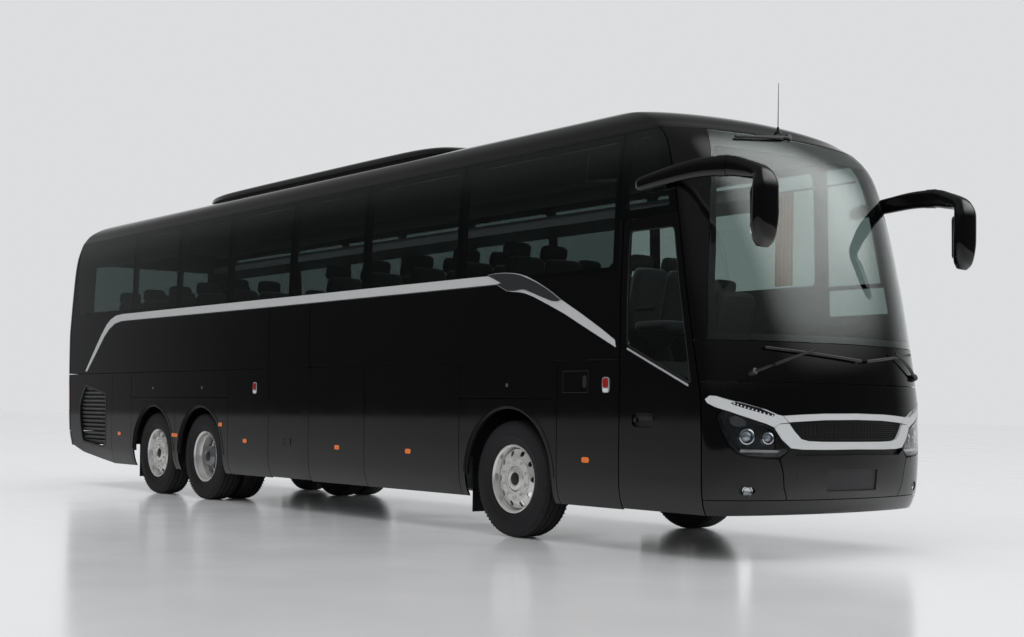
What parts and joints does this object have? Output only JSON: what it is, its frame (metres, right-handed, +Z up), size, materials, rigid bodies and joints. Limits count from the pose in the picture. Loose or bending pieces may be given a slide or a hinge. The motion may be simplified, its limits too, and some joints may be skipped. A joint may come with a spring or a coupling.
{
  "type": "coach bus",
  "caption": "High-deck touring coach on three axles, with hollow cabin, swinging doors, lifting luggage flaps and engine lid, steered front wheels and free-rolling wheels.",
  "frame": {"origin": "on the ground under the middle of the vehicle, mirrors included", "axes": "+X forward along the vehicle, +Y to its left, +Z up"},
  "size_m": [13.495, 2.684, 3.8967],
  "materials": {
    "steel": "satin",
    "engine_iron": "matt",
    "bay_panel": "satin",
    "floor_panel": "matt",
    "housing_plastic": "matt",
    "rubber": "matt",
    "body_paint": "gloss",
    "side_glass": "gloss",
    "screen_glass": "gloss",
    "trim": "matt",
    "mirror_shell": "satin",
    "lamp": "gloss",
    "dash_plastic": "matt",
    "seat_fabric": "woven",
    "tyre": "matt",
    "alloy": "polished"
  },
  "bodies": {
    "body": {"chassis_frame": "steel", "luggage_bay": "bay_panel", "cabin_floor": "floor_panel", "wheel_housings": "housing_plastic", "front_axle_beam": "steel", "drive_axle_housing": "steel", "tag_axle_beam": "steel", "air_springs": "rubber", "engine_block": "engine_iron", "roof_panel": "body_paint", "roof_aircon": "body_paint", "right_side_wall": "body_paint", "left_side_wall": "body_paint", "side_glazing": "side_glass", "right_lower_panels": "body_paint", "left_lower_panels": "body_paint", "side_grilles": "trim", "windscreen": "screen_glass", "windscreen_pillars": "body_paint", "front_panel": "body_paint", "front_grille": "trim", "headlamps": "lamp", "front_bumper": "body_paint", "rear_wall": "body_paint", "rear_window": "side_glass", "rear_corners": "body_paint", "rear_bumper": "body_paint", "mirrors": "mirror_shell", "wipers": "trim", "antenna": "trim", "passenger_seats": "seat_fabric", "driver_seat": "seat_fabric", "dashboard": "dash_plastic", "luggage_racks": "dash_plastic"},
    "front_door": {"front_door": "body_paint", "front_door_glass": "side_glass"},
    "front_door_arm": {"front_door_arm": "steel"},
    "mid_door": {"mid_door": "body_paint"},
    "mid_door_arm": {"mid_door_arm": "steel"},
    "right_luggage_flap_1": {"right_luggage_flap_1": "body_paint"},
    "right_luggage_flap_2": {"right_luggage_flap_2": "body_paint"},
    "left_luggage_flap_1": {"left_luggage_flap_1": "body_paint"},
    "left_luggage_flap_2": {"left_luggage_flap_2": "body_paint"},
    "left_luggage_flap_3": {"left_luggage_flap_3": "body_paint"},
    "engine_lid": {"engine_lid": "body_paint"},
    "steering_wheel": {"steering_wheel": "trim"},
    "right_knuckle": {"right_knuckle": "steel"},
    "left_knuckle": {"left_knuckle": "steel"},
    "front_wheel_right": {"front_tyre_right": "tyre", "front_rim_right": "alloy"},
    "front_wheel_left": {"front_tyre_left": "tyre", "front_rim_left": "alloy"},
    "drive_wheels_right": {"drive_tyres_right": "tyre", "drive_rims_right": "alloy"},
    "drive_wheels_left": {"drive_tyres_left": "tyre", "drive_rims_left": "alloy"},
    "tag_wheel_right": {"tag_tyre_right": "tyre", "tag_rim_right": "alloy"},
    "tag_wheel_left": {"tag_tyre_left": "tyre", "tag_rim_left": "alloy"}
  },
  "joints": [
    {"name": "front_door_swing", "type": "hinge", "parent": "body", "child": "front_door_arm", "pos_m": [6.0375, -1.15, 0.9], "axis": [0, 0, 1], "range_deg": [0, 85]},
    {"name": "front_door_parallel", "type": "hinge", "parent": "front_door_arm", "child": "front_door", "pos_m": [5.3075, -1.15, 0.9], "axis": [0, 0, 1], "range_deg": [-86, 1]},
    {"name": "mid_door_swing", "type": "hinge", "parent": "body", "child": "mid_door_arm", "pos_m": [-0.57166, -1.15, 0.9], "axis": [0, 0, -1], "range_deg": [0, 85]},
    {"name": "mid_door_parallel", "type": "hinge", "parent": "mid_door_arm", "child": "mid_door", "pos_m": [0.10814, -1.15, 0.9], "axis": [0, 0, -1], "range_deg": [-86, 1]},
    {"name": "right_flap_1_lift", "type": "hinge", "parent": "body", "child": "right_luggage_flap_1", "pos_m": [2.16664, -1.275, 1.56], "axis": [-1, 0, 0], "range_deg": [0, 90]},
    {"name": "right_flap_2_lift", "type": "hinge", "parent": "body", "child": "right_luggage_flap_2", "pos_m": [0.78746, -1.275, 1.56], "axis": [-1, 0, 0], "range_deg": [0, 90]},
    {"name": "left_flap_1_lift", "type": "hinge", "parent": "body", "child": "left_luggage_flap_1", "pos_m": [2.16664, 1.275, 1.56], "axis": [1, 0, 0], "range_deg": [0, 90]},
    {"name": "left_flap_2_lift", "type": "hinge", "parent": "body", "child": "left_luggage_flap_2", "pos_m": [0.78746, 1.275, 1.56], "axis": [1, 0, 0], "range_deg": [0, 90]},
    {"name": "left_flap_3_lift", "type": "hinge", "parent": "body", "child": "left_luggage_flap_3", "pos_m": [-0.21676, 1.275, 1.56], "axis": [1, 0, 0], "range_deg": [0, 90]},
    {"name": "engine_lid_lift", "type": "hinge", "parent": "body", "child": "engine_lid", "pos_m": [-6.7475, 0, 1.56], "axis": [0, 1, 0], "range_deg": [0, 80]},
    {"name": "steer_right", "type": "hinge", "parent": "body", "child": "right_knuckle", "pos_m": [3.7075, -0.9405, 0.522], "axis": [0, 0, 1], "range_deg": [-45, 45]},
    {"name": "steer_left", "type": "hinge", "parent": "body", "child": "left_knuckle", "pos_m": [3.7075, 0.9405, 0.522], "axis": [0, 0, 1], "range_deg": [-46, 46]},
    {"name": "steering_wheel_turn", "type": "hinge", "parent": "body", "child": "steering_wheel", "pos_m": [5.6075, 0.62, 1.545], "axis": [-0.8192, 0, 0.5736], "range_deg": [-725, 725]},
    {"name": "front_right_roll", "type": "hinge", "parent": "right_knuckle", "child": "front_wheel_right", "pos_m": [3.7075, -1.0725, 0.522], "axis": [0, 1, 0], "continuous": true},
    {"name": "front_left_roll", "type": "hinge", "parent": "left_knuckle", "child": "front_wheel_left", "pos_m": [3.7075, 1.0725, 0.522], "axis": [0, 1, 0], "continuous": true},
    {"name": "drive_right_roll", "type": "hinge", "parent": "body", "child": "drive_wheels_right", "pos_m": [-2.3825, -1.0725, 0.522], "axis": [0, 1, 0], "continuous": true},
    {"name": "drive_left_roll", "type": "hinge", "parent": "body", "child": "drive_wheels_left", "pos_m": [-2.3825, 1.0725, 0.522], "axis": [0, 1, 0], "continuous": true},
    {"name": "tag_right_roll", "type": "hinge", "parent": "body", "child": "tag_wheel_right", "pos_m": [-3.7325, -1.0725, 0.522], "axis": [0, 1, 0], "continuous": true},
    {"name": "tag_left_roll", "type": "hinge", "parent": "body", "child": "tag_wheel_left", "pos_m": [-3.7325, 1.0725, 0.522], "axis": [0, 1, 0], "continuous": true}
  ],
  "couplings": [
    {"joint": "front_door_parallel", "follows": "front_door_swing", "ratio": -1},
    {"joint": "mid_door_parallel", "follows": "mid_door_swing", "ratio": -1},
    {"joint": "steer_left", "follows": "steer_right", "ratio": 1},
    {"joint": "steering_wheel_turn", "follows": "steer_right", "ratio": 16}
  ]
}
